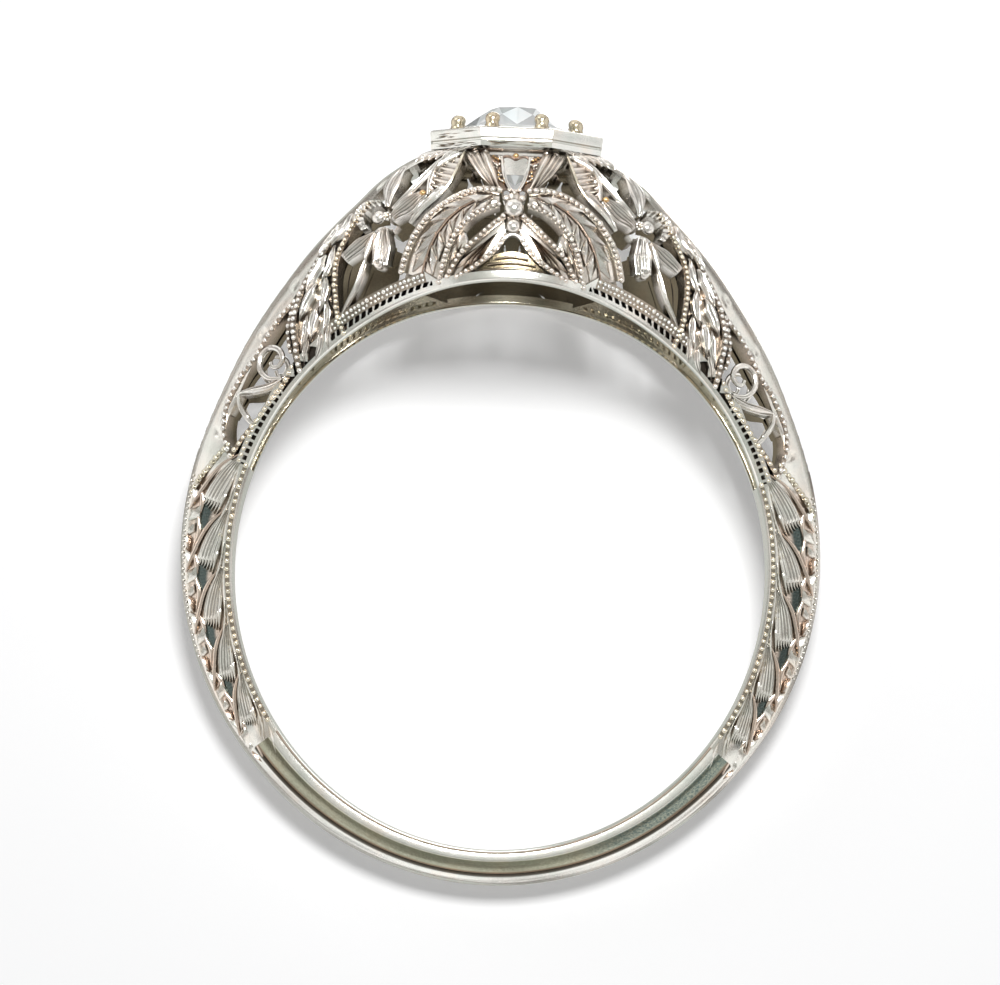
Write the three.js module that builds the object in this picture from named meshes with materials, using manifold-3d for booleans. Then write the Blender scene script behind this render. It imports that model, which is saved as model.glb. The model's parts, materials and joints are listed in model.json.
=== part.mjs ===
// An antique engagement ring with a pierced filigree head, standing upright with its stone on top.
// Millimetres. The origin is the centre of the finger hole, +Z points to the stone and Y runs along
// the finger. The ring is the same on the left and the right, and on the front and the back, so the
// filigree is drawn once, for the front right quarter, and mirrored.
import * as THREE from "three";
import { ConvexGeometry } from "three/addons/geometries/ConvexGeometry.js";
import { mergeVertices } from "three/addons/utils/BufferGeometryUtils.js";
import Module from "manifold-3d";

const wasm = await Module();
wasm.setup();

// ---- Driving dimensions ----

const BORE_HALF_WIDTH = 8.15;
const BORE_HALF_HEIGHT = 8.51;
const GAP = 0.04; // clearance between neighbouring pieces
const SLIVER = 0.01; // detail finer than this is dropped where pieces are cut or joined
const SAME_POINT = 1e-4; // vertices closer than this are one

// Each profile is a list of [degrees from the stone, millimetres], the same on both sides.
const CREST_RADIUS = [
  [0, 12.5], [6, 12.55], [12, 12.8], [18, 12.5], [24, 11.95], [32, 11.37], [40, 10.85], [50, 10.38],
  [60, 10.03], [75, 9.8], [90, 9.68], [110, 9.53], [130, 9.43], [180, 9.5],
];
const RIM_HALF_WIDTH = [
  [0, 3.95], [10, 3.7], [20, 3.0], [30, 2.4], [40, 2.05], [60, 1.6], [90, 1.25], [120, 1.05], [180, 0.95],
];
const CREST_HALF_WIDTH = [
  [0, 2.5], [5, 2.45], [12, 1.2], [20, 0.65], [35, 0.45], [60, 0.4], [90, 0.3], [180, 0.3],
];
const DOME_POWER = 1.7; // how full the sides bulge between rim and crest

const ARM_TOP = 70; // degrees from the stone where the pierced shoulder meets the engraved arm
const ARM_BOTTOM = 128; // degrees where the engraved arm meets the plain band
const ARM_GAP = 0.3; // degrees of clearance at each end of an arm
const SHANK_EDGE = 0.45; // thickness at the shank's edges, as a share of its middle
const RAIL_HEIGHT = 0.66;
const RAIL_THICKNESS = 0.55;
const CREST_THICKNESS = 0.42;
const CREST_START = 12.6; // degrees, just outside the head plate

const PLATE_HALF_WIDTH = 2.63; // to the flats of the octagon
const PLATE_BOTTOM = 12.64;
const PLATE_TOP = 13.28;
const COLLAR_HALF_WIDTH = 2.42;
const COLLAR_HEIGHT = 0.16;
const KEEP_OUT = { margin: 1, hole: 0.2, height: 2 }; // the plate's space, that filigree stays out of

const GIRDLE_RADIUS = 1.74;
const GIRDLE_HEIGHT = 0.07;
const GIRDLE_Z = 13.45;
const TABLE_RADIUS = 0.8;
const TABLE_Z = 14.14;
const CULET_Z = 11.8;
const CROWN_BREAK = { radius: 0.74, height: 0.62 }; // shares of the girdle's radius, the crown's height
const PAVILION_BREAK = { radius: 0.31, depth: 0.72 };
const CULET = 0.05; // share of the girdle's radius
const COLLET_RADIUS = 1.66;
const COLLET_WALL = 0.1;
const COLLET_TAPER = 0.85;
const COLLET_DEPTH = 0.6; // below the plate

const PRONG_COUNT = 8; // half way between the octagon's flats
const PRONG_RING_RADIUS = 1.96;
const PRONG_RADIUS = 0.17;
const PRONG_HEIGHT = 0.5;
const PRONG_FOOT = 0.85; // share of the prong's radius
const PRONG_DOME_STEPS = 4;

// ---- The ring's own surface ----

// The value of a profile at an angle, smooth from station to station.
function along(degrees, stations) {
  const angle = Math.abs(THREE.MathUtils.euclideanModulo(degrees + 180, 360) - 180);
  const next = Math.max(1, stations.findIndex(([at]) => at >= angle));
  const [a0, v0] = stations[next - 1];
  const [a1, v1] = stations[next];
  const slope = (i) => {
    if (i === 0 || i === stations.length - 1) return 0;
    return (stations[i + 1][1] - stations[i - 1][1]) / (stations[i + 1][0] - stations[i - 1][0]);
  };
  const span = a1 - a0;
  const t = (angle - a0) / span;
  return (
    v0 * (1 + 2 * t) * (1 - t) ** 2 +
    v1 * t * t * (3 - 2 * t) +
    span * t * (1 - t) * (slope(next - 1) * (1 - t) - slope(next) * t)
  );
}

function boreRadius(degrees) {
  const angle = THREE.MathUtils.degToRad(degrees);
  const across = BORE_HALF_HEIGHT * Math.sin(angle);
  const up = BORE_HALF_WIDTH * Math.cos(angle);
  return (BORE_HALF_WIDTH * BORE_HALF_HEIGHT) / Math.hypot(across, up);
}

function degreesFromStone(x, z) {
  return THREE.MathUtils.radToDeg(Math.atan2(x, z));
}

// How far the front face of the ring stands out from the middle plane at a point of its side view.
function faceDepth(x, z) {
  const angle = degreesFromStone(x, z);
  const bore = boreRadius(angle);
  const share = (Math.hypot(x, z) - bore) / (along(angle, CREST_RADIUS) - bore);
  const rho = THREE.MathUtils.clamp(share, 0, 1);
  const rim = along(angle, RIM_HALF_WIDTH);
  const crest = along(angle, CREST_HALF_WIDTH);
  return crest + (rim - crest) * (1 - rho ** DOME_POWER) ** (1 / DOME_POWER);
}

// ---- Solids ----

// A geometry with every vertex moved by place(x, y, z), which returns a Vector3.
function remapped(geometry, place) {
  geometry.deleteAttribute("normal");
  geometry.deleteAttribute("uv");
  const merged = mergeVertices(geometry, SAME_POINT);
  const position = merged.attributes.position;
  for (let i = 0; i < position.count; i++) {
    const moved = place(position.getX(i), position.getY(i), position.getZ(i));
    position.setXYZ(i, moved.x, moved.y, moved.z);
  }
  return merged;
}

function solidOf(geometry) {
  const merged = remapped(geometry, (x, y, z) => new THREE.Vector3(x, y, z));
  return new wasm.Manifold(
    new wasm.Mesh({
      numProp: 3,
      vertProperties: merged.attributes.position.array,
      triVerts: new Uint32Array(merged.index.array),
    }),
  );
}

function geometryOf(solid) {
  const { vertProperties, triVerts } = solid.getMesh();
  const geometry = new THREE.BufferGeometry();
  geometry.setAttribute("position", new THREE.BufferAttribute(vertProperties, 3));
  geometry.setIndex(new THREE.BufferAttribute(triVerts, 1));
  geometry.computeVertexNormals();
  return geometry;
}

// Several solids as one, without the slivers that joining leaves.
function joined(solids) {
  return solids.reduce((sum, solid) => sum.add(solid)).simplify(SLIVER);
}

// What is left of a solid clear of its neighbours: its largest body.
function trimmed(solid, neighbours) {
  const rest = neighbours.reduce((left, other) => left.subtract(other), solid).simplify(SLIVER);
  return rest.decompose().reduce((best, body) => (body.volume() > best.volume() ? body : best));
}

// A bar bent round the finger hole: place(degrees, across, outward) with across and outward 0 to 1.
function bentBar(fromDegrees, toDegrees, steps, acrossSteps, place) {
  const bar = new THREE.BoxGeometry(1, 1, 1, steps, acrossSteps, 1);
  return remapped(bar, (u, v, w) => {
    const degrees = THREE.MathUtils.lerp(fromDegrees, toDegrees, u + 0.5);
    const { radius, y } = place(degrees, v + 0.5, w + 0.5);
    const angle = THREE.MathUtils.degToRad(degrees);
    return new THREE.Vector3(radius * Math.sin(angle), y, radius * Math.cos(angle));
  });
}

// A blade of metal lying on the front face of the ring. Its centre line runs through [x, z] points,
// its widths are spaced evenly along it, and grow makes it larger all round.
function blade({ path, widths, rise = 0, thickness = 0.5, steps = 8 }, grow = 0) {
  const curve = new THREE.SplineCurve(path.map(([x, z]) => new THREE.Vector2(x, z)));
  const left = [];
  const right = [];
  for (let i = 0; i <= steps; i++) {
    const t = i / steps;
    const at = curve.getPointAt(t);
    const tangent = curve.getTangentAt(t);
    at.addScaledVector(tangent, (i === steps ? grow : 0) - (i === 0 ? grow : 0));
    const place = t * (widths.length - 1);
    const first = Math.min(Math.floor(place), widths.length - 2);
    const half = THREE.MathUtils.lerp(widths[first], widths[first + 1], place - first) / 2 + grow;
    left.push(new THREE.Vector2(at.x - tangent.y * half, at.y + tangent.x * half));
    right.unshift(new THREE.Vector2(at.x + tangent.y * half, at.y - tangent.x * half));
  }
  const flat = new THREE.ExtrudeGeometry(new THREE.Shape([...left, ...right]), {
    depth: 1,
    bevelEnabled: false,
  });
  return solidOf(
    remapped(flat, (x, z, t) => {
      const y = t > 0.5 ? rise + grow : rise - thickness - grow;
      return new THREE.Vector3(x, -faceDepth(x, z) - y, z);
    }),
  );
}

// ---- Shank, rails and crests ----

// A rail that frames the finger hole on the front face, up over the head from arm to arm.
function boreRail(grow) {
  return bentBar(-ARM_TOP - grow, ARM_TOP + grow, 56, 1, (degrees, across, outward) => {
    const radius = boreRadius(degrees) + (outward ? RAIL_HEIGHT + grow : -grow);
    const angle = THREE.MathUtils.degToRad(degrees);
    const face = faceDepth(radius * Math.sin(angle), radius * Math.cos(angle));
    return { radius, y: across ? RAIL_THICKNESS + grow - face : -face - grow };
  });
}

// The narrow bar on top of a shoulder, from the head plate to the arm.
function shoulderCrest(grow) {
  return bentBar(CREST_START - grow, ARM_TOP + grow, 26, 1, (degrees, across, outward) => {
    const half = along(degrees, CREST_HALF_WIDTH) + grow;
    const crest = along(degrees, CREST_RADIUS);
    return { radius: outward ? crest + grow : crest - CREST_THICKNESS - grow, y: across ? half : -half };
  });
}

// A length of the half-round shank, thickest along the middle.
function shankLength(fromDegrees, toDegrees, steps) {
  return bentBar(fromDegrees, toDegrees, steps, 6, (degrees, across, outward) => {
    const side = 2 * across - 1;
    const bore = boreRadius(degrees);
    const thickness = along(degrees, CREST_RADIUS) - bore;
    const crown = thickness * (SHANK_EDGE + (1 - SHANK_EDGE) * Math.sqrt(1 - side * side));
    const half = along(degrees, RIM_HALF_WIDTH);
    return { radius: bore + (outward ? crown : 0), y: side * half };
  });
}

// ---- Head ----

function octagon(halfWidth) {
  const corner = halfWidth / Math.cos(Math.PI / 8);
  const points = Array.from({ length: 8 }, (_, i) => {
    const angle = Math.PI / 8 + (i * Math.PI) / 4;
    return new THREE.Vector2(corner * Math.cos(angle), corner * Math.sin(angle));
  });
  return new THREE.Shape(points);
}

function octagonRing(halfWidth, holeRadius, bottom, height) {
  const shape = octagon(halfWidth);
  shape.holes.push(new THREE.Path().absarc(0, 0, holeRadius, 0, 2 * Math.PI, true));
  const ring = new THREE.ExtrudeGeometry(shape, { depth: height, bevelEnabled: false, curveSegments: 32 });
  return ring.translate(0, 0, bottom);
}

// A lathed piece that stands on the Z axis: points are [radius, z], upwards on the outside.
function turned(points, segments) {
  const profile = points.map(([radius, z]) => new THREE.Vector2(radius, z));
  return new THREE.LatheGeometry(profile, segments).rotateX(Math.PI / 2);
}

// The round seat that carries the girdle, tapering down to follow the stone.
function stoneCollet() {
  const bottom = PLATE_BOTTOM - COLLET_DEPTH;
  const outer = COLLET_RADIUS + COLLET_WALL;
  return turned(
    [
      [COLLET_RADIUS - COLLET_TAPER, bottom],
      [outer - COLLET_TAPER, bottom],
      [outer, PLATE_BOTTOM],
      [outer, PLATE_TOP],
      [COLLET_RADIUS, PLATE_TOP],
      [COLLET_RADIUS - COLLET_TAPER, bottom],
    ],
    32,
  );
}

// The stone: a small table, steep crown, thin girdle and deep pavilion, eight facets round.
function stone() {
  const ring = (count, radius, z, turn) =>
    Array.from({ length: count }, (_, i) => {
      const angle = ((i + turn) * 2 * Math.PI) / count;
      return new THREE.Vector3(radius * Math.cos(angle), radius * Math.sin(angle), z);
    });
  const crownBreak = THREE.MathUtils.lerp(GIRDLE_Z, TABLE_Z, CROWN_BREAK.height);
  const pavilionBreak = THREE.MathUtils.lerp(GIRDLE_Z, CULET_Z, PAVILION_BREAK.depth);
  return new ConvexGeometry([
    ...ring(8, TABLE_RADIUS, TABLE_Z, 0),
    ...ring(8, GIRDLE_RADIUS * CROWN_BREAK.radius, crownBreak, 0.5),
    ...ring(16, GIRDLE_RADIUS, GIRDLE_Z + GIRDLE_HEIGHT / 2, 0),
    ...ring(16, GIRDLE_RADIUS, GIRDLE_Z - GIRDLE_HEIGHT / 2, 0),
    ...ring(8, GIRDLE_RADIUS * PAVILION_BREAK.radius, pavilionBreak, 0.5),
    ...ring(8, GIRDLE_RADIUS * CULET, CULET_Z, 0),
  ]);
}

// A bead prong: a short post with a domed top.
function prong() {
  const shoulder = PRONG_HEIGHT - PRONG_RADIUS;
  const points = [[0, 0], [PRONG_RADIUS * PRONG_FOOT, 0], [PRONG_RADIUS, shoulder]];
  for (let i = 1; i <= PRONG_DOME_STEPS; i++) {
    const angle = (i * Math.PI) / (2 * PRONG_DOME_STEPS);
    points.push([PRONG_RADIUS * Math.cos(angle), shoulder + PRONG_RADIUS * Math.sin(angle)]);
  }
  return turned(points, 12);
}

// ---- Filigree of the front right quarter ----

// In order of rank: a piece is cut clear of every piece above it in the list.
const QUARTER = {
  bow_wing: [
    { path: [[0.4, 11.05], [0.95, 11.01], [1.77, 10.65], [2.42, 9.73], [2.95, 8.67]],
      widths: [0.25, 0.55, 0.85, 1.05, 1.0], rise: 0.1 },
  ],
  bow_tail: [
    { path: [[0.3, 10.34], [0.85, 9.94], [1.5, 9.36], [2.05, 8.64]], widths: [0.24, 0.3, 0.36, 0.42] },
    { path: [[0.2, 9.61], [0.6, 9.24], [1.15, 8.83], [1.9, 8.55]], widths: [0.24, 0.28, 0.34, 0.4] },
    { path: [[0.75, 9.73], [1.15, 9.27], [1.6, 8.81]], widths: [0.35, 0.62, 0.75] },
  ],
  fan_leaf: [
    { path: [[0.33, 11.21], [0.6, 11.83], [0.95, 12.57]], widths: [0.2, 0.42, 0.75] },
  ],
  side_leaf: [
    { path: [[1.72, 12.55], [1.98, 11.84], [2.22, 11.09]], widths: [0.4, 0.52, 0.4], rise: 0.05 },
  ],
  flower: [
    { path: [[2, 12.34], [2.65, 11.88], [3.3, 11.21], [3.92, 10.49]], widths: [0.2, 0.36, 0.4, 0.24] },
    { path: [[2.6, 11.03], [3.15, 10.86], [3.9, 10.39]], widths: [0.35, 0.7, 0.24], rise: 0.06 },
    { path: [[3.94, 10.41], [4.25, 10.44], [4.62, 10.37]], widths: [0.3, 0.72, 0.5], rise: 0.1 },
    { path: [[3.95, 10.39], [3.92, 9.69], [3.84, 8.99]], widths: [0.24, 0.62, 0.5], rise: 0.1 },
    { path: [[3.98, 10.34], [4.45, 9.68], [5, 9.11]], widths: [0.2, 0.58, 0.3], rise: 0.1 },
    { path: [[4.4, 9.63], [4.57, 8.47], [5.1, 7.56]], widths: [0.16, 0.16, 0.16] },
    { path: [[3.72, 10.41], [3.94, 10.4], [4.16, 10.39]], widths: [0.2, 0.42, 0.2], rise: 0.2 },
  ],
  panel_border: [
    { path: [[4.45, 10.73], [5.02, 9.81], [5.28, 8.9], [5.24, 7.8], [4.98, 6.76]],
      widths: [0.26, 0.26, 0.26], steps: 12, rise: 0.06 },
  ],
  scroll_frame: [
    { path: [[6.44, 7.73], [6.91, 7.35], [7.41, 6.45], [8.02, 5.46], [8.44, 4.34], [8.38, 3.13]],
      widths: [0.24, 0.24, 0.24], steps: 14, rise: 0.04 },
    { path: [[6.5, 7.73], [6.4, 6.78], [6.41, 5.84], [7.01, 4.98], [7.74, 3.83], [8.37, 3.08]],
      widths: [0.24, 0.24, 0.24], steps: 14, rise: 0.04 },
  ],
  leaf_band: [
    { path: [[5.05, 10.01], [5.72, 9.08], [5.95, 8.08], [5.88, 6.98], [5.6, 6.08]],
      widths: [0.3, 0.6, 0.85, 1.05, 1.0], steps: 12 },
  ],
  scroll: [
    { path: [[6.37, 6.18], [6.67, 6.48], [7.12, 6.38], [7.3, 6], [7.02, 5.68], [6.78, 5.88]],
      widths: [0.2, 0.17, 0.14], steps: 16 },
    { path: [[6.52, 6.33], [6.76, 5.58], [7.32, 5.13], [8.02, 4.83]], widths: [0.12, 0.3, 0.34, 0.2] },
    { path: [[7.22, 5.23], [7.54, 4.68], [7.67, 4.08], [7.87, 3.78]], widths: [0.2, 0.24, 0.14] },
  ],
};

// The boss at the middle of the bow: two beads over a small arch that stands on the rail.
const BOSS = [
  { path: [[-0.28, 10.64], [0, 10.64], [0.28, 10.64]], widths: [0.22, 0.56, 0.22], rise: 0.3, steps: 6 },
  { path: [[-0.19, 10.18], [0, 10.18], [0.19, 10.18]], widths: [0.14, 0.38, 0.14], rise: 0.2, steps: 6 },
  { path: [[0, 10.7], [0, 10.2], [0, 9.7]], widths: [0.3, 0.24, 0.4], steps: 4 },
  { path: [[-0.5, 9.0], [-0.34, 9.55], [0, 9.78], [0.34, 9.55], [0.5, 9.0]], widths: [0.22, 0.2, 0.22] },
];

// ---- Materials ----

const whiteGold = { color: 0xc9c4bd, roughness: 0.28, metalness: 1 };
const MATERIALS = {
  polished: new THREE.MeshStandardMaterial({ ...whiteGold, roughness: 0.18 }),
  engraved: new THREE.MeshStandardMaterial({ ...whiteGold, roughness: 0.34 }),
  filigree: new THREE.MeshStandardMaterial(whiteGold),
  bead: new THREE.MeshStandardMaterial({ ...whiteGold, color: 0xcfc49c }),
  diamond: new THREE.MeshStandardMaterial({ color: 0xf2f6fa, roughness: 0.02, metalness: 0 }),
};

// ---- Assembly ----

const group = new THREE.Group();

function addPiece(name, geometry, material) {
  const mesh = new THREE.Mesh(geometry, MATERIALS[material]);
  mesh.name = name;
  group.add(mesh);
  return mesh;
}

const FACES = { front: 1, back: -1 };
const SIDES = { right: 1, left: -1 };

addPiece("shank_band", shankLength(ARM_BOTTOM, 360 - ARM_BOTTOM, 36), "polished");
for (const [side, sign] of Object.entries(SIDES)) {
  const arm = shankLength(ARM_TOP + ARM_GAP, ARM_BOTTOM - ARM_GAP, 22);
  addPiece(`shank_arm_${side}`, arm, "engraved").scale.x = sign;
  addPiece(`shoulder_crest_${side}`, shoulderCrest(0), "engraved").scale.x = sign;
}
for (const [face, sign] of Object.entries(FACES)) {
  addPiece(`bore_rail_${face}`, boreRail(0), "polished").scale.y = sign;
}

const seatHole = COLLET_RADIUS + COLLET_WALL + GAP;
const collarBottom = PLATE_BOTTOM - COLLAR_HEIGHT - GAP;
const plate = octagonRing(PLATE_HALF_WIDTH, seatHole, PLATE_BOTTOM, PLATE_TOP - PLATE_BOTTOM);
addPiece("head_plate", plate, "polished");
const collar = octagonRing(COLLAR_HALF_WIDTH, seatHole, collarBottom, COLLAR_HEIGHT);
addPiece("gallery_collar", collar, "filigree");
addPiece("stone_collet", stoneCollet(), "polished");
addPiece("stone", stone(), "diamond");
for (let i = 0; i < PRONG_COUNT; i++) {
  const angle = ((i + 0.5) * 2 * Math.PI) / PRONG_COUNT;
  const bead = addPiece(`prong_${i + 1}`, prong(), "bead");
  bead.position
    .set(PRONG_RING_RADIUS * Math.cos(angle), PRONG_RING_RADIUS * Math.sin(angle), PLATE_TOP + GAP);
}

const overallFrame = [
  solidOf(boreRail(GAP)),
  solidOf(shoulderCrest(GAP)),
  solidOf(
    octagonRing(COLLAR_HALF_WIDTH + KEEP_OUT.margin, KEEP_OUT.hole, collarBottom - GAP, KEEP_OUT.height),
  ),
];
const boss = trimmed(joined(BOSS.map((part) => blade(part))), overallFrame);
for (const [face, sign] of Object.entries(FACES)) {
  addPiece(`bow_boss_${face}`, geometryOf(boss), "filigree").scale.y = sign;
}

const cleared = [...overallFrame, ...BOSS.map((part) => blade(part, GAP))];
for (const [name, parts] of Object.entries(QUARTER)) {
  const solid = trimmed(joined(parts.map((part) => blade(part))), cleared);
  cleared.push(...parts.map((part) => blade(part, GAP)));
  for (const [face, faceSign] of Object.entries(FACES)) {
    for (const [side, sideSign] of Object.entries(SIDES)) {
      addPiece(`${name}_${face}_${side}`, geometryOf(solid), "filigree").scale.set(sideSign, faceSign, 1);
    }
  }
}

export default group;
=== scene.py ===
"""An antique pierced engagement ring, drawn in detail around the places and sizes of its parts.

Every piece is drawn in the ring's own side view, in millimetres from the centre of the finger hole, and laid
on the curved face of the ring. The filigree is drawn for the front right quarter and mirrored to the others.
"""

import json
import math

import bmesh
import bpy
import numpy as np
from mathutils import Matrix, Vector


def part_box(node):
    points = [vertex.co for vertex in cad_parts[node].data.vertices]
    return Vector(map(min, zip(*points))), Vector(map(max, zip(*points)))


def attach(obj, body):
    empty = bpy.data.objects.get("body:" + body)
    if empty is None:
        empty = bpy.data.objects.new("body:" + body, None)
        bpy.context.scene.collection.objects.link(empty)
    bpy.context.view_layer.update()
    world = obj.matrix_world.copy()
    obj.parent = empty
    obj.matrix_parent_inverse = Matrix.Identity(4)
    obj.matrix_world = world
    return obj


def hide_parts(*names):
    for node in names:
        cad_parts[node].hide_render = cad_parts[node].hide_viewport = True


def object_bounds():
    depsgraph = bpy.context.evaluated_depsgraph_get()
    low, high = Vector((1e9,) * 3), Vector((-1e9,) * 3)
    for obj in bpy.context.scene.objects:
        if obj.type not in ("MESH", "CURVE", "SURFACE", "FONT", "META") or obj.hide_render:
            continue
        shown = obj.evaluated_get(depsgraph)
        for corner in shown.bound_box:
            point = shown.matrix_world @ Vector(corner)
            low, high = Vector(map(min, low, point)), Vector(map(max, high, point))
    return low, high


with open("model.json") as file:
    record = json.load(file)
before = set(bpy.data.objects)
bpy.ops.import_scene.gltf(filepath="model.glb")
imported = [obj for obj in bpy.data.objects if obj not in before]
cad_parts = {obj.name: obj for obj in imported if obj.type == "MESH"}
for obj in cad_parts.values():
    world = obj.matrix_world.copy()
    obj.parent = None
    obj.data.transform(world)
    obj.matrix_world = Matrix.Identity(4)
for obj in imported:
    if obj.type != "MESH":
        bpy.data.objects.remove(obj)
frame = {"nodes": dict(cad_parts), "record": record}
cad_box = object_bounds()

# ---- Driving dimensions, from the frame ----

MM = 0.001


def box_mm(node):
    low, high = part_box(node)
    return np.array(low) / MM, np.array(high) / MM


finger_hole = next(m for m in frame["record"]["mounts"] if m["name"] == "finger_hole")
BORE_HALF_WIDTH = finger_hole["dims"]["r_mm"]
rail_points = np.array([v.co[:] for v in frame["nodes"]["bore_rail_front"].data.vertices]) / MM
BORE_HALF_HEIGHT = rail_points[np.abs(rail_points[:, 0]) < 0.1][:, 2].min()
ARM_TOP = 70.0  # degrees from the stone, where the pierced shoulder meets the engraved arm
ARM_BOTTOM = 128.0  # degrees, where the engraved arm meets the plain band

plate_low, plate_high = box_mm("head_plate")
PLATE_HALF = plate_high[0]
PLATE_BOTTOM, PLATE_TOP = plate_low[2], plate_high[2]
collar_low, collar_high = box_mm("gallery_collar")
COLLAR_BOTTOM, COLLAR_TOP = collar_low[2], collar_high[2]
seat_low, seat_high = box_mm("stone_collet")
SEAT_RADIUS, SEAT_BOTTOM = seat_high[0], seat_low[2]
HEAD_HOLE = SEAT_RADIUS + 0.04

# ---- The ring's face: its profiles, in stations of (degrees from the stone, mm) ----

CREST_RADIUS = [
    (0, 12.5), (6, 12.55), (12, 12.8), (18, 12.5), (24, 11.95), (32, 11.37), (40, 10.85), (50, 10.38),
    (60, 10.03), (75, 9.8), (90, 9.68), (110, 9.53), (130, 9.43), (180, 9.5),
]
RIM_HALF_WIDTH = [
    (0, 3.95), (10, 3.7), (20, 3.0), (30, 2.4), (40, 2.05), (60, 1.6), (90, 1.25), (120, 1.05), (180, 0.95),
]
CREST_HALF_WIDTH = [
    (0, 2.5), (5, 2.45), (12, 1.2), (20, 0.65), (35, 0.45), (60, 0.4), (90, 0.3), (180, 0.3),
]
DOME_POWER = 1.7


def profile(stations):
    """A function of degrees that passes smoothly through the stations, the same on both sides."""
    at, value = np.array(stations, float).T
    slope = np.zeros(len(at))
    slope[1:-1] = (value[2:] - value[:-2]) / (at[2:] - at[:-2])

    def read(degrees):
        angle = np.abs((np.asarray(degrees, float) + 180) % 360 - 180)
        i = np.clip(np.searchsorted(at, angle, side="right") - 1, 0, len(at) - 2)
        span = at[i + 1] - at[i]
        t = (angle - at[i]) / span
        ends = value[i] * (1 + 2 * t) * (1 - t) ** 2 + value[i + 1] * t * t * (3 - 2 * t)
        return ends + span * t * (1 - t) * (slope[i] * (1 - t) - slope[i + 1] * t)

    return read


crest_radius = profile(CREST_RADIUS)
rim_half_width = profile(RIM_HALF_WIDTH)
crest_half_width = profile(CREST_HALF_WIDTH)


def bore_radius(degrees):
    angle = np.radians(degrees)
    across, up = BORE_HALF_HEIGHT * np.sin(angle), BORE_HALF_WIDTH * np.cos(angle)
    return BORE_HALF_WIDTH * BORE_HALF_HEIGHT / np.hypot(across, up)


def clamp(value):
    return np.clip(value, 0, 1)


def soft_step(value):
    return 1 / (1 + np.exp(-value))


def turned(radius, degrees):
    """Side-view points at a radius and an angle from the stone."""
    angle = np.radians(degrees)
    return radius * np.sin(angle), radius * np.cos(angle)


def face_depth(x, z):
    """How far the front face stands out from the middle plane at a point of the side view."""
    angle = np.degrees(np.arctan2(x, z))
    bore = bore_radius(angle)
    rho = clamp((np.hypot(x, z) - bore) / (crest_radius(angle) - bore))
    rim, crest = rim_half_width(angle), crest_half_width(angle)
    return crest + (rim - crest) * (1 - rho**DOME_POWER) ** (1 / DOME_POWER)


def on_face(x, z, height):
    """The 3-D points at a height above the front face, in mm."""
    x, z = np.broadcast_arrays(np.asarray(x, float), np.asarray(z, float))
    depth, step = face_depth(x, z), 0.03
    slope_x = (face_depth(x + step, z) - face_depth(x - step, z)) / (2 * step)
    slope_z = (face_depth(x, z + step) - face_depth(x, z - step)) / (2 * step)
    steep = np.maximum(1, np.hypot(slope_x, slope_z) / 1.3)
    normal = np.stack([-slope_x / steep, -np.ones_like(x), -slope_z / steep], -1)
    normal /= np.linalg.norm(normal, axis=-1, keepdims=True)
    return np.stack([x, -depth, z], -1) + normal * np.asarray(height, float)[..., None]


def whole_turn(steps):
    return np.linspace(0, 2 * np.pi, steps, endpoint=False)


def from_polar(degrees, share):
    """Side-view points at an angle from the stone and a share of the way from the bore to the crest."""
    bore = bore_radius(degrees)
    return turned(bore + share * (crest_radius(degrees) - bore), degrees)


# ---- Mesh building ----

PLAIN = (1.0, 1.0, 1.0)
YELLOW = (1.0, 0.955, 0.84)
WARM = (1.0, 0.965, 0.935)
# painted shade in cut notches
NOTCH_SHADE = (0.1, 0.085, 0.075)
# painted dark green shade in the pockets below the arm's leaves
TEAL_POCKET_SHADE = (0.06, 0.1, 0.105)
BROWN = (0.55, 0.44, 0.38)
ROSE = (0.86, 0.75, 0.69)
# painted shade for grooves, sunken rails under beads and engraved strokes
GROOVE_SHADE = (0.46, 0.41, 0.36)
# a lighter painted shade for sunken ground and the rails under beads
SOFT_SHADE = (0.8, 0.765, 0.715)
GOLD = (0.85, 0.6, 0.32)
OCHRE = (0.8, 0.74, 0.64)
# painted warm shade on the inner face of the finger hole
BORE_WARM_SHADE = (0.8, 0.75, 0.64)
# painted shade for the sunken plate and rungs under the bow boss
RUNG_SHADE = (0.5, 0.45, 0.38)
SHADE = (0.22, 0.19, 0.13)
UNDERSIDE_SHADE = (0.17, 0.15, 0.11)  # painted shade on the side towards the finger and inside the head


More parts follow.
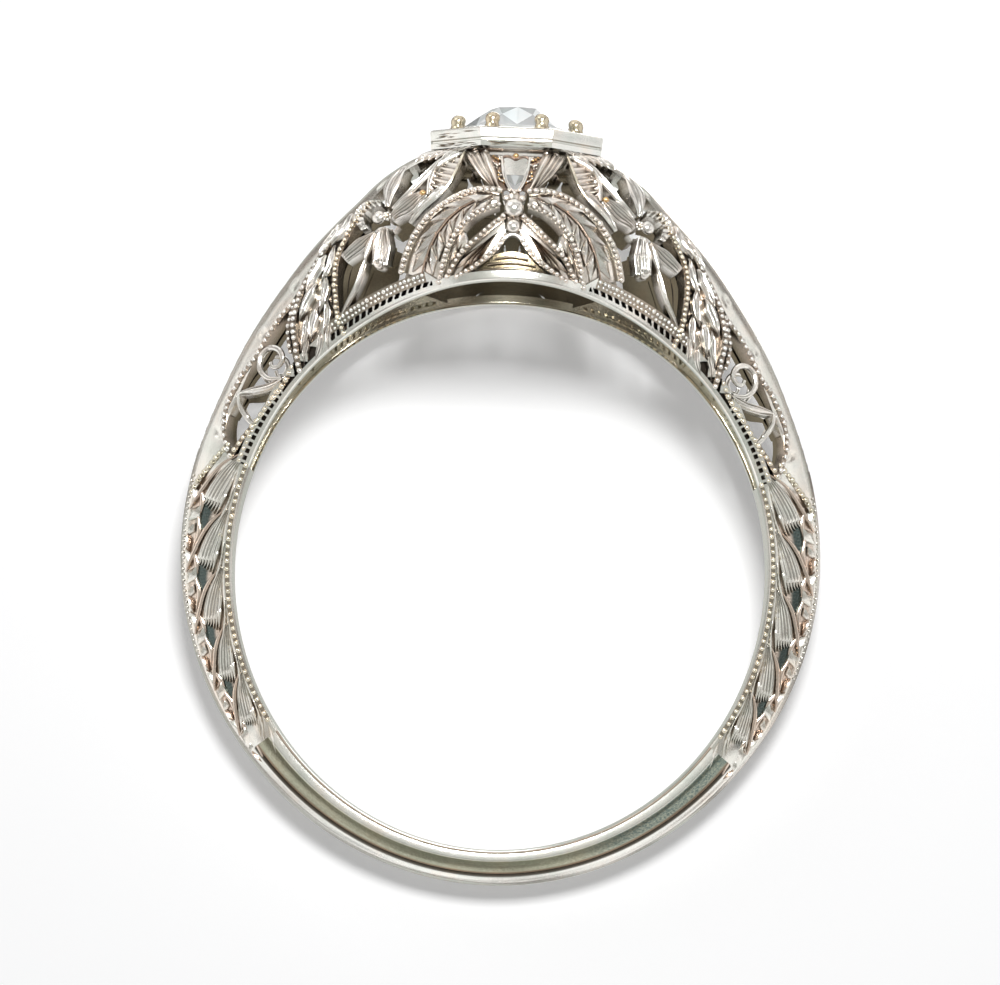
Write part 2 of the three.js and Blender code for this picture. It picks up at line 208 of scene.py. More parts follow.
class Piece:
    """One sub-part, made of closed shells. Each vertex has a tone that multiplies the metal's colour."""

    def __init__(self):
        self.points, self.tones, self.faces, self.count = [], [], [], 0

    def add(self, points, faces, tone=PLAIN):
        points = np.asarray(points, float).reshape(-1, 3)
        self.points.append(points)
        self.tones.append(np.broadcast_to(np.asarray(tone, float), points.shape))
        self.faces.extend([[i + self.count for i in face] for face in faces])
        self.count += len(points)

    def add_closed(self, points, faces, tone=PLAIN):
        """Adds a closed shell, turning its faces round if they point inwards."""
        volume = 0.0
        for first, *rest in faces:
            for second, third in zip(rest, rest[1:]):
                volume += np.dot(points[first], np.cross(points[second], points[third]))
        self.add(points, faces if volume >= 0 else [face[::-1] for face in faces], tone)

    def mirrored_faces(self, mirror):
        return [face[::-1] for face in self.faces] if np.prod(mirror) < 0 else self.faces

    def join(self, other, mirror):
        self.points += [points * mirror for points in other.points]
        self.tones += other.tones
        self.faces += [[i + self.count for i in face] for face in other.mirrored_faces(mirror)]
        self.count += other.count

    def to_object(self, name, material, mirror=(1, 1, 1), sharp=35.0):
        mesh = bpy.data.meshes.new(name)
        points = np.concatenate(self.points) * mirror * MM
        mesh.from_pydata(points.tolist(), [], self.mirrored_faces(mirror))
        tones = np.concatenate(self.tones)
        attribute = mesh.color_attributes.new("tone", "FLOAT_COLOR", "POINT")
        attribute.data.foreach_set("color", np.column_stack([tones, np.ones(len(tones))]).ravel())
        mesh.shade_smooth()
        mesh.set_sharp_from_angle(angle=math.radians(sharp))
        mesh.materials.append(material)
        piece = bpy.data.objects.new(name, mesh)
        bpy.context.scene.collection.objects.link(piece)
        return piece


def grid_faces(rows, columns, start=0, flip=False):
    faces = []
    for i in range(rows - 1):
        for j in range(columns - 1):
            a = start + i * columns + j
            face = [a, a + columns, a + columns + 1, a + 1]
            faces.append(face[::-1] if flip else face)
    return faces


def add_slab(piece, top, bottom, tone=PLAIN, inner=UNDERSIDE_SHADE):
    """A closed shell between two grids of points of the same shape, top facing out. The underside takes the
    inner tone, painted shade unless another is given.
    """
    rows, columns = top.shape[:2]
    size = rows * columns
    faces = grid_faces(rows, columns, 0, True) + grid_faces(rows, columns, size)
    rim = list(range(columns))
    rim += [i * columns + columns - 1 for i in range(1, rows)]
    rim += [(rows - 1) * columns + j for j in range(columns - 2, -1, -1)]
    rim += [i * columns for i in range(rows - 2, 0, -1)]
    for a, b in zip(rim, rim[1:] + rim[:1]):
        faces.append([b, a, a + size, b + size])
    tones = np.broadcast_to(np.asarray(tone, float), top.shape)
    both = np.concatenate([tones.reshape(-1, 3), np.broadcast_to(inner, (size, 3))])
    piece.add(np.concatenate([top.reshape(-1, 3), bottom.reshape(-1, 3)]), faces, both)


def smooth_path(points, count):
    """Evenly spaced points on a smooth curve through the given ones."""
    p = np.array(points, float)
    ends = np.vstack([2 * p[0] - p[1], p, 2 * p[-1] - p[-2]])
    t = np.linspace(0, 1, 24, endpoint=False)[:, None]
    parts = []
    for i in range(len(p) - 1):
        a, b, c, d = ends[i : i + 4]
        cubic = (2 * a - 5 * b + 4 * c - d) * t**2 + (3 * b - a - 3 * c + d) * t**3
        parts.append(0.5 * (2 * b + (c - a) * t + cubic))
    dense = np.vstack([*parts, p[-1:]])
    length = np.concatenate([[0], np.cumsum(np.linalg.norm(np.diff(dense, axis=0), axis=1))])
    wanted = np.linspace(0, length[-1], count)
    return np.stack([np.interp(wanted, length, column) for column in dense.T], -1)


def smooth_values(values, count):
    """Values spaced evenly along a path, eased from one to the next."""
    place = np.linspace(0, len(values) - 1, count)
    first = np.clip(place.astype(int), 0, len(values) - 2)
    t = place - first
    t = t * t * (3 - 2 * t)
    values = np.asarray(values, float)
    return values[first] * (1 - t) + values[first + 1] * t


def path_length(points):
    dense = smooth_path(points, 60)
    return np.linalg.norm(np.diff(dense, axis=0), axis=1).sum()


def sideways(line):
    tangent = np.gradient(line, axis=0)
    tangent /= np.linalg.norm(tangent, axis=1, keepdims=True) + 1e-12
    return np.stack([-tangent[:, 1], tangent[:, 0]], -1)


def ruled(piece, edge_a, edge_b, height=0.05, lift=0.0, thickness=0.35, flutes=0, ribs=0, cut=0.03, rim=0.0,
          steps=30, across=11, tone=PLAIN, swell=2.2):
    """A sheet between two edges: crowned, fluted along or ribbed across, with raised edges."""
    a, b = smooth_path(edge_a, steps), smooth_path(edge_b, steps)
    u = np.linspace(-1, 1, across)
    s = np.linspace(0, 1, steps)[:, None]
    share = (u + 1) / 2
    grid = a[:, None] * (1 - share)[None, :, None] + b[:, None] * share[None, :, None]
    ends = 1 - np.abs(2 * s - 1) ** 8
    relief = lift + height * (1 - np.abs(u) ** swell)[None] * (0.3 + 0.7 * ends)
    inside = clamp((1 - np.abs(u)) * 4)[None] * clamp(ends * 1.5)
    groove = 0 * relief
    if flutes:
        groove = inside * (0.5 + 0.5 * np.cos(2 * np.pi * flutes * share))[None]
    if ribs:
        groove = inside * (0.5 + 0.5 * np.cos(2 * np.pi * (ribs * s + 0.25 * u[None])))
    relief = relief - cut * groove
    relief = relief + rim * np.exp(-(((1 - np.abs(u)) / 0.16) ** 2))[None]
    x, z = grid[..., 0], grid[..., 1]
    # painted shade: the colour darkens in the bottoms of the flutes and ribs
    tones = np.array(tone) * (1 - 0.4 * groove**2)[..., None]
    add_slab(piece, on_face(x, z, relief), on_face(x, z, np.full_like(x, lift - thickness)), tones)


def blade(piece, path, widths, **options):
    """A ruled sheet that follows a centre line with widths spaced evenly along it."""
    steps = options.get("steps", 30)
    line = smooth_path(path, steps)
    half = smooth_values(widths, steps)[:, None] / 2
    side = sideways(line)
    left, right = line + side * half, line - side * half
    ruled(piece, left, right, **{**options, "steps": steps})


def unit_ball():
    made = bmesh.new()
    bmesh.ops.create_icosphere(made, subdivisions=2, radius=1)
    points = np.array([v.co[:] for v in made.verts])
    faces = [[v.index for v in face.verts] for face in made.faces]
    made.free()
    return points, faces


BALL_POINTS, BALL_FACES = unit_ball()


def bead(piece, x, z, radius, lift=0.0, flat=1.0, tone=PLAIN):
    """A round grain sitting on the face; flat below 1 presses it down."""
    centre = on_face(x, z, lift)
    normal = on_face(x, z, lift + 1) - centre
    points = BALL_POINTS * radius
    along = (points @ normal)[:, None] * normal
    piece.add(centre + points + along * (flat - 1), BALL_FACES, tone)


def milgrain(piece, path, spacing=0.2, radius=0.08, lift=0.05, tone=PLAIN):
    """A row of small beads, evenly spaced along a path, each a little different, as if struck by hand."""
    count = max(2, round(path_length(path) / spacing) + 1)
    rng = np.random.default_rng(count)
    for x, z in smooth_path(path, count):
        x, z = x + rng.uniform(-0.012, 0.012), z + rng.uniform(-0.012, 0.012)
        size = radius * rng.uniform(0.8, 1.12)
        height = lift + rng.uniform(-0.015, 0.01)
        flat = rng.uniform(0.75, 1.1)
        bead(piece, x, z, size, height, flat, np.array(tone) * rng.uniform(0.85, 1.0))


def beaded_rail(piece, path, width=0.18, spacing=0.2, radius=0.08, lift=0.04, tone=PLAIN, base=GROOVE_SHADE):
    """A flat rail with a row of beads half sunk into it. By default the rail is in painted groove shade."""
    steps = max(12, int(path_length(path) * 9))
    rail = [width * 0.85, width * 0.85]
    blade(piece, path, rail, height=0.0, lift=lift - 0.01, thickness=0.4, across=5, steps=steps, tone=base)
    milgrain(piece, path, spacing, radius, lift + 0.01, tone)


def wire(piece, path, radii, lift=0.0, sides=10, steps=40, tone=PLAIN):
    """A round wire lying on the face, with closed ends."""
    line = smooth_path(path, steps)
    radius = smooth_values(radii, steps)
    centre = on_face(line[:, 0], line[:, 1], np.full(steps, lift))
    normal = on_face(line[:, 0], line[:, 1], np.full(steps, lift + 1.0)) - centre
    tangent = np.gradient(centre, axis=0)
    side = np.cross(tangent, normal)
    side /= np.linalg.norm(side, axis=1, keepdims=True)
    up = np.cross(side, tangent)
    up /= np.linalg.norm(up, axis=1, keepdims=True)
    turn = whole_turn(sides)
    round_section = np.cos(turn)[:, None] * side[:, None] + np.sin(turn)[:, None] * up[:, None]
    add_tube(piece, centre[:, None] + radius[:, None, None] * round_section, tone)


def add_tube(piece, rings, tone=PLAIN):
    """A closed tube through rings of points, capped at both ends."""
    count, sides = rings.shape[:2]
    faces = []
    for i in range(count - 1):
        for j in range(sides):
            k = (j + 1) % sides
            faces.append([i * sides + j, i * sides + k, (i + 1) * sides + k, (i + 1) * sides + j])
    faces.append(list(range(sides))[::-1])
    faces.append([(count - 1) * sides + j for j in range(sides)])
    tones = np.broadcast_to(np.asarray(tone, float), rings.shape).reshape(-1, 3)
    piece.add_closed(rings.reshape(-1, 3), faces, tones)


def cut_leaf(piece, start, end, width, height=0.09, lift=0.0, belly=0.45, thickness=0.25, tone=PLAIN):
    """A bright-cut leaf: two long facets that meet in a ridge, pointed at both ends."""
    start, end = np.array(start, float), np.array(end, float)
    along = end - start
    side = np.array([-along[1], along[0]]) / np.linalg.norm(along) * width / 2
    middle = start + along * belly
    outline = [start, middle + side, end, middle - side]
    ridge = [start + along * 0.12, middle, start + along * 0.9]
    heights = [lift] * 4 + [lift + height * 0.55, lift + height, lift + height * 0.3]
    flat = np.array([*outline, *ridge])
    top = on_face(flat[:, 0], flat[:, 1], np.array(heights))
    low = on_face(flat[:4, 0], flat[:4, 1], np.full(4, lift - thickness))
    faces = [[0, 4, 1], [4, 5, 1], [5, 6, 1], [6, 2, 1], [0, 3, 4], [4, 3, 5], [5, 3, 6], [6, 3, 2]]
    faces += [[0, 1, 8, 7], [1, 2, 9, 8], [2, 3, 10, 9], [3, 0, 7, 10], [7, 8, 9, 10]]
    piece.add_closed(np.concatenate([top, low]), faces, tone)


# ---- Filigree of the front right quarter ----


def bow_wing(piece):
    outer = [(0.45, 11.22), (1.0, 11.24), (1.65, 11.05), (2.35, 10.58), (2.82, 10.02), (3.12, 9.4),
             (3.28, 8.74)]
    inner = [(0.45, 10.78), (1.03, 10.55), (1.53, 10.1), (1.86, 9.55), (2.03, 8.95), (2.14, 8.4)]
    vein = [(0.55, 11.0), (1.17, 10.86), (1.79, 10.45), (2.24, 9.86), (2.52, 9.2), (2.66, 8.56)]
    ruled(piece, outer, inner, height=0.1, lift=-0.08, thickness=0.32, steps=44, across=15, tone=WARM)
    spine = smooth_path(vein, 60)
    side = sideways(spine)
    leaflets = 6
    rng = np.random.default_rng(8)
    for i in range(leaflets):
        start = 1 + int(i * 50 / leaflets)
        tip = start + 15
        spread = 0.2 + 0.24 * math.sin(math.pi * (i + 1) / (leaflets + 1))
        for sign in (1, -1):
            root = spine[start] + side[start] * 0.03 * sign
            end = spine[tip] + side[tip] * spread * sign * rng.uniform(0.92, 1.08)
            width = 0.36 if sign > 0 else 0.28
            cut_leaf(piece, root, end, width, height=rng.uniform(0.1, 0.17), lift=0.05, belly=0.5)
    wire(piece, vein, [0.015, 0.03, 0.03], lift=0.07, sides=8, tone=BROWN)
    beaded_rail(piece, outer, width=0.24, spacing=0.185, radius=0.1, lift=0.05, tone=WARM, base=SOFT_SHADE)
    beaded_rail(piece, inner, width=0.2, spacing=0.165, radius=0.085, lift=0.05, tone=WARM, base=SOFT_SHADE)


def bow_tail(piece):
    outer = [(0.28, 10.42), (0.57, 10.2), (0.95, 9.85), (1.32, 9.5), (1.66, 9.06), (1.9, 8.58)]
    inner = [(0.22, 9.86), (0.42, 9.55), (0.72, 9.2), (1.12, 8.88), (1.62, 8.56)]
    ruled(piece, outer, inner, height=0.02, lift=-0.08, thickness=0.3, steps=24, tone=WARM)
    root = (0.42, 9.98)
    for end, width in [((1.76, 8.76), 0.26), ((1.58, 8.66), 0.2), ((1.3, 8.8), 0.2)]:
        cut_leaf(piece, root, end, width, height=0.18, lift=-0.05, belly=0.75, tone=WARM)
    wedge_a = [(1.5, 10.02), (1.8, 9.6), (1.98, 9.0), (2.08, 8.45)]
    wedge_b = [(1.38, 9.58), (1.52, 9.34), (1.72, 9.04), (1.94, 8.5)]
    ruled(piece, wedge_a, wedge_b, height=0.02, lift=-0.06, thickness=0.28, steps=20, tone=WARM)
    cut_leaf(piece, (1.58, 9.9), (1.96, 8.52), 0.2, height=0.15, lift=-0.04, belly=0.4)
    cut_leaf(piece, (1.5, 9.62), (1.9, 8.66), 0.12, height=0.12, lift=-0.04, belly=0.4, tone=WARM)
    beaded_rail(piece, outer, width=0.2, spacing=0.175, radius=0.08, tone=WARM)
    beaded_rail(piece, inner, width=0.19, spacing=0.175, radius=0.075, tone=WARM)


def fan_leaf(piece):
    left = [(0.4, 12.5), (0.38, 12.0), (0.18, 11.4)]
    right = [(0.86, 12.5), (0.64, 11.9), (0.44, 11.3)]
    ruled(piece, left, right, height=0.0, lift=-0.1, thickness=0.2, steps=20, tone=BROWN)
    rng = np.random.default_rng(3)
    for i in range(34):
        t = rng.uniform(0.05, 0.95)
        low, high = 0.24 + 0.16 * t, 0.46 + 0.36 * t
        tone = GOLD if i % 4 == 0 else WARM
        bead(piece, rng.uniform(low, high), 11.4 + 1.08 * t, rng.uniform(0.03, 0.055), -0.06, tone=tone)
    blade(piece, [(0.98, 12.52), (0.76, 11.95), (0.46, 11.28)], [0.24, 0.2, 0.1], height=0.07, rim=0.05,
          flutes=1, tone=WARM)
    blade(piece, [(1.34, 12.48), (1.06, 11.95), (0.6, 11.26)], [0.36, 0.3, 0.1], height=0.04, rim=0.09,
          flutes=3, cut=0.05, across=21, tone=WARM)
    wire(piece, [(0.42, 12.3), (0.37, 11.9), (0.26, 11.5), (0.12, 11.25)], [0.035, 0.06, 0.05], lift=0.03)
    arch = [(0.0, 12.26), (0.14, 12.34), (0.3, 12.36), (0.42, 12.26)]
    wire(piece, arch, [0.05, 0.05, 0.04], lift=-0.02, tone=BROWN)


def side_leaf(piece):
    left = [(1.55, 12.46), (1.72, 11.95), (1.92, 11.5), (2.2, 11.12)]
    right = [(2.05, 12.42), (2.4, 12.0), (2.56, 11.55), (2.58, 11.1)]
    ruled(piece, left, right, height=0.0, lift=-0.04, ribs=7, cut=0.1, steps=70, across=15, tone=WARM)
    wire(piece, left, [0.05, 0.06, 0.06], lift=0.02, tone=YELLOW)
    wire(piece, right, [0.05, 0.06, 0.06], lift=0.02)
    left = [(1.98, 11.3), (2.3, 10.98), (2.7, 10.62), (3.04, 10.2)]
    right = [(2.2, 11.42), (2.55, 11.14), (2.92, 10.72), (3.14, 10.26)]
    ruled(piece, left, right, height=0.06, flutes=2, steps=26)
    bead(piece, 2.72, 11.14, 0.11, 0.06, tone=GOLD)
    for i in range(6):
        start = (1.35 + 0.2 * i, 12.68 - 0.012 * i)
        blade(piece, [start, (start[0] + 0.42, start[1] - 0.16), (start[0] + 0.66, start[1] - 0.4)],
              [0.05, 0.11, 0.03], height=0.07, lift=0.02 + 0.01 * (i % 2), steps=16, across=7)


def flower(piece):
    blade(piece, [(1.5, 12.58), (2.2, 12.24), (2.61, 11.85), (3.15, 11.23), (3.66, 10.72)],
          [0.12, 0.2, 0.22, 0.2, 0.12], height=0.08, flutes=2, cut=0.06, steps=44)
    blade(piece, [(3.3, 12.1), (3.72, 11.45), (3.8, 10.78)], [0.1, 0.46, 0.16], height=0.12, rim=0.03,
          flutes=4, cut=0.035, across=25)
    blade(piece, [(2.68, 11.16), (3.17, 10.8), (3.66, 10.38)], [0.26, 0.6, 0.28], height=0.14, lift=0.02,
          flutes=7, cut=0.06, across=43)
    blade(piece, [(3.98, 10.86), (4.42, 10.78), (4.62, 10.46), (4.46, 10.06)], [0.2, 0.3, 0.3, 0.18],
          height=0.06, lift=0.05, ribs=8, cut=0.08, rim=0.05, steps=60)
    blade(piece, [(3.86, 10.1), (3.92, 9.5), (3.95, 8.96)], [0.26, 0.54, 0.46], height=0.14, lift=0.04,
          flutes=6, cut=0.05, across=37)
    blade(piece, [(3.8, 9.06), (3.96, 8.9), (4.12, 9.04)], [0.06, 0.2, 0.06], height=0.1, lift=0.06)
    blade(piece, [(4.1, 9.95), (4.6, 9.54), (5.04, 9.16)], [0.16, 0.46, 0.34], height=0.12, lift=0.04,
          flutes=5, cut=0.06, across=31)
    blade(piece, [(4.12, 9.92), (4.3, 9.5), (4.38, 9.05)], [0.1, 0.22, 0.08], height=0.1, lift=0.05)
    blade(piece, [(4.36, 9.3), (4.61, 8.4), (4.88, 7.8), (5.12, 7.3)], [0.1, 0.17, 0.16, 0.1], height=0.07,
          flutes=1, cut=0.05)
    bead(piece, 4.03, 10.42, 0.23, 0.06, 0.75)
    rng = np.random.default_rng(5)
    heart_x, heart_z = 3.74, 10.42
    for i in range(7):
        turn = i * 2 * math.pi / 7
        x, z = heart_x + 0.1 * math.cos(turn), heart_z + 0.1 * math.sin(turn)
        bead(piece, x, z, rng.uniform(0.045, 0.065), 0.12)
    bead(piece, heart_x, heart_z, 0.07, 0.15, tone=YELLOW)


def flower_shade_lining(piece):
    """The plain, fluted sheet that closes most of the opening round the flower on the far side. Its underside
    is in painted shade, which fills the openings seen from the front.
    """
    ruled(piece, [(3.5, 9.9), (3.62, 9.2), (3.7, 8.5)], [(4.7, 10.3), (5.1, 9.3), (5.2, 8.0)], height=0.0,
          lift=-0.2, thickness=0.12, flutes=7, cut=0.04, across=60)


def panel_border(piece):
    path = [(4.4, 10.9), (4.88, 10.1), (5.22, 9.3), (5.3, 8.7), (5.26, 8.05), (5.16, 7.4), (4.98, 6.9)]
    beaded_rail(piece, path, width=0.19, spacing=0.165, radius=0.078, lift=0.06, tone=YELLOW)


def leaf_band(piece):
    inner = [(4.66, 10.88), (5.2, 9.95), (5.44, 9.2), (5.48, 8.4), (5.38, 7.5), (5.16, 6.84), (5.14, 6.66)]
    outer = [(5.2, 10.62), (5.72, 9.65), (6.14, 8.75), (6.38, 7.9), (6.45, 7.1), (6.32, 6.4), (6.22, 5.74)]
    ruled(piece, inner, outer, height=0.0, lift=-0.12, thickness=0.26, steps=40, tone=SOFT_SHADE)
    leaves = [
        (4.86, 10.62, 5.46, 9.62, 0.3), (5.16, 10.3, 5.84, 9.2, 0.3), (5.34, 9.6, 5.7, 8.4, 0.3),
        (5.62, 9.3, 6.16, 8.1, 0.32), (5.56, 8.7, 5.72, 7.5, 0.3), (5.86, 8.4, 6.32, 7.25, 0.32),
        (5.5, 7.9, 5.56, 6.8, 0.3), (5.78, 7.7, 5.96, 6.6, 0.3), (6.1, 7.4, 6.24, 6.3, 0.3),
        (5.36, 7.2, 5.4, 6.4, 0.24), (5.66, 6.95, 5.8, 6.05, 0.26), (6.0, 6.7, 6.12, 5.9, 0.22),
    ]
    for i, (x, z, end_x, end_z, width) in enumerate(leaves):
        middle = ((x + end_x) / 2 + (0.06 if i % 2 else -0.06), (z + end_z) / 2)
        blade(piece, [(x, z), middle, (end_x, end_z)], [0.06, width, width * 0.8, 0.03], height=0.15,
              thickness=0.24, flutes=3, cut=0.045, steps=22, across=19)
    edge = [(5.3, 10.2), (5.68, 9.42), (5.97, 8.87), (6.27, 8.25), (6.47, 7.52), (6.5, 7.06), (6.42, 6.6),
            (6.34, 6.1), (6.26, 5.74)]
    beaded_rail(piece, edge, width=0.2, radius=0.09, lift=0.07)


def scroll_frame(piece):
    outer = [(6.5, 7.86), (6.92, 7.36), (7.3, 6.74), (7.62, 6.14), (7.97, 5.67), (8.24, 5.15), (8.45, 4.62),
             (8.51, 4.1), (8.44, 3.6), (8.28, 3.12)]
    inner = [(6.5, 5.84), (6.67, 5.44), (7.0, 4.94), (7.34, 4.44), (7.68, 3.97), (8.0, 3.53), (8.24, 3.12)]
    beaded_rail(piece, outer, width=0.16, spacing=0.215, radius=0.09, lift=0.05)
    beaded_rail(piece, inner, width=0.16, spacing=0.215, radius=0.09, lift=0.05, tone=YELLOW)
    near = [(6.5, 7.84), (6.62, 7.3), (6.66, 6.8), (6.56, 6.3)]
    beaded_rail(piece, near, width=0.14, spacing=0.19, radius=0.075)


def scroll(piece):
    spiral = [(6.82, 5.5), (7.22, 5.5), (7.48, 5.78), (7.47, 6.17), (7.22, 6.42), (6.92, 6.36), (6.8, 6.1),
              (6.92, 5.86), (7.1, 5.84), (7.16, 5.98)]
    wire(piece, spiral, [0.06, 0.1, 0.095, 0.06], steps=90)
    blade(piece, [(6.7, 5.55), (7.1, 5.26), (7.6, 5.12), (8.12, 5.02)], [0.08, 0.26, 0.26, 0.14], height=0.1,
          flutes=1, cut=0.05)
    wire(piece, [(8.12, 5.04), (8.06, 4.68), (7.8, 4.26), (7.62, 4.08)], [0.07, 0.09, 0.07])
    blade(piece, [(8.1, 5.0), (8.28, 4.7), (8.4, 4.4)], [0.06, 0.14, 0.06], height=0.08)
    bead(piece, 7.78, 4.3, 0.08, 0.04)


def bow_boss(piece):
    bead(piece, 0.0, 10.66, 0.31, 0.1, 0.8)
    bead(piece, 0.0, 10.12, 0.23, 0.06, 0.8)
    for x, z, radius in ((0.3, 10.45, 0.1), (0.24, 11.0, 0.12), (0.16, 11.26, 0.07)):
        bead(piece, -x, z, radius, 0.0, 0.8, WARM)
        bead(piece, x, z, radius, 0.0, 0.8, WARM)
    bead(piece, 0.0, 11.18, 0.07, 0.0, 0.8, WARM)
    blade(piece, [(0, 11.3), (0, 10.6), (0, 9.92)], [0.3, 0.5, 0.3], height=0.06, lift=-0.06, tone=WARM)
    wire(piece, [(-0.4, 9.5), (-0.22, 9.78), (0, 9.88), (0.22, 9.78), (0.4, 9.5)], [0.05, 0.06, 0.05])
    # the sunken plate and the rungs under the boss are painted dark as shade
    ruled(piece, [(-0.52, 9.3), (0, 9.4), (0.52, 9.3)], [(-1.3, 8.56), (0, 8.62), (1.3, 8.56)], height=0.0,
          lift=-0.14, thickness=0.24, steps=24, tone=SHADE)
    for z, half in [(9.22, 0.5), (9.04, 0.74), (8.86, 0.98)]:
        blade(piece, [(-half, z - 0.08), (0, z), (half, z - 0.08)], [0.06, 0.09, 0.06], lift=-0.08, tone=RUNG_SHADE)
    bead(piece, 0.0, 12.36, 0.1, 0.0, tone=GOLD)


QUARTER = (bow_wing, bow_tail, fan_leaf, side_leaf, flower, panel_border, leaf_band, scroll_frame, scroll)

# ---- Rails, crests and shank ----


TEETH = (15.5, 39.5)  # degrees from the stone, and the same for the next two
PITS = (41.0, 53.0)
SQUARES = (53.5, 180.0)
TOOTH_SPACING, PIT_SPACING = 1.5, 4.0  # degrees


def between(value, limits):
    return (value > limits[0]) & (value < limits[1])


def rail_notches(away, out):
    """Where the cutter has taken metal out of the rail: fine teeth, three big ones, then small squares."""
    fine = np.abs((away / TOOTH_SPACING + out * 3.2) % 1 - 0.5) * 2
    wide = np.abs(((away - PITS[0]) / PIT_SPACING) % 1 - 0.5) * 2
    teeth = between(away, TEETH) & between(out, (0.17, 0.17 + 0.12 * (fine > 0.42)))
    pits = between(away, PITS) & between(out, (0.16, 0.16 + 0.36 * (1 - wide)))
    squares = between(away, SQUARES) & between(out, (0.15, 0.26)) & ((away / TOOTH_SPACING) % 1 > 0.4)
    return teeth | pits | squares


def bore_rail(piece):
    """The rail on the front rim of the finger hole: a polished edge, cut notches, and a beaded line."""
    degrees = np.linspace(-ARM_TOP, ARM_TOP, 1300)[:, None]
    away = np.abs(degrees)
    height = np.interp(away, [14.5, 16.5, 38.5, 40, 53, 56, 70], [0.28, 0.64, 0.66, 0.5, 0.5, 0.42, 0.42])
    out = np.linspace(0, 1, 24)[None] * height
    x, z = turned(bore_radius(degrees) + out, degrees)
    cut = rail_notches(away, out)
    relief = 0.05 - 0.05 * np.exp(-((out / 0.03) ** 2)) - 0.16 * cut
    ledge = (between(away, (16.5, 38)) & (out > 0.3))[..., None]
    # painted shade: the cut notches are nearly black, and the ledge under the beads is in painted groove
    # shade
    tones = np.where(cut[..., None], NOTCH_SHADE, np.where(ledge, GROOVE_SHADE, PLAIN))
    top = on_face(x, z, relief)
    bottom = top.copy()
    bottom[..., 1] += 0.5
    # the rail's inner face fades from bare metal into the painted warm shade
    add_slab(piece, top, bottom, tones, BORE_WARM_SHADE)
    rows = (
        (17, 37.5, 0.54, 0.14, 0.072, PLAIN), (17, 37.5, 0.4, 0.13, 0.055, PLAIN),
        (54, 69.5, 0.35, 0.19, 0.065, YELLOW),
    )
    for sign in (1, -1):
        for first, last, away_from_bore, spacing, radius, tone in rows:
            arc = np.linspace(first, last, 12)
            x, z = turned(bore_radius(arc) + away_from_bore, arc)
            milgrain(piece, np.column_stack([x * sign, z]), spacing, radius, 0.05, tone)


def shank_length(piece, start, stop, steps, relief_of, tone_of):
    """A length of the shank: the front face, the crest and the back face of one closed sweep."""
    degrees = np.linspace(start, stop, steps)[:, None]
    share = np.concatenate([[0, 0.008, 0.02], np.linspace(0.04, 0.999, 44)])[None]
    x, z = from_polar(degrees, share)
    edge = 0.07 * np.exp(-((share / 0.012) ** 2)) + 0 * degrees
    front = on_face(x, z, relief_of(degrees, share))
    front[..., 1] += edge
    across = np.linspace(-1, 1, 9)[None, 1:-1]
    x, z = turned(crest_radius(degrees) + 0.07 * (1 - across**2), degrees)
    top = np.stack([x, across * crest_half_width(degrees), z], -1)
    loop = np.concatenate([front, top, front[:, ::-1] * (1, -1, 1)], axis=1)
    face_tone = tone_of(degrees, share)
    tones = np.concatenate([face_tone, np.ones(top.shape), face_tone[:, ::-1]], axis=1)
    add_tube(piece, loop, tones)


SCOOP_DEPTH = 0.11
ARM_CELLS = [(67.5, 14.5), (79.5, 14.0), (91.5, 13.5), (103.0, 13.0), (113.5, 12.0)]  # first degree, span


def arm_relief(degrees, share):
    """The sides of an arm are scooped out between the inner edge and the crest, from a slanting start."""
    panel = soft_step((share - 0.2) * 50) * (1 - soft_step((share - 0.9) * 60))
    start = soft_step((degrees - ARM_TOP - 0.5 - 5 * share) * 2)
    stop = soft_step((ARM_BOTTOM - 4 - degrees) * 1.2)
    stipple = 0.014 * np.sin(degrees * 9 + 3 * np.sin(share * 40)) * np.sin(share * 90)
    return (stipple - SCOOP_DEPTH) * panel * start * stop


def arm_tone(degrees, share):
    """Bare metal at the edges and rose in the hollow, with painted dark green shade in a pocket below each
    leaf.
    """
    panel = clamp(-arm_relief(degrees, share) / 0.09)[..., None]
    pocket_shade = 0 * degrees * share
    for start, span in ARM_CELLS:
        past = (degrees - start) / span
        middle = 0.55 + 0.1 * np.cos((past - 1.05) * 6)
        near = clamp(2.2 - np.abs(past - 1.0) * 4) * clamp(2.4 - np.abs(share - middle) * 13)
        pocket_shade = np.maximum(pocket_shade, near)
    mottle = 0.94 + 0.06 * np.sin(degrees * 7.1 + 60 * share) * np.sin(degrees * 3.3 - 40 * share)
    pocket_shade = (pocket_shade * mottle)[..., None]
    return 1 - panel + (pocket_shade * TEAL_POCKET_SHADE + (1 - pocket_shade) * ROSE) * panel


def arm_points(start, places):
    """Side-view points of an arm from [degrees past the start, share] pairs."""
    return [np.array(from_polar(start + degrees, share)) for degrees, share in places]


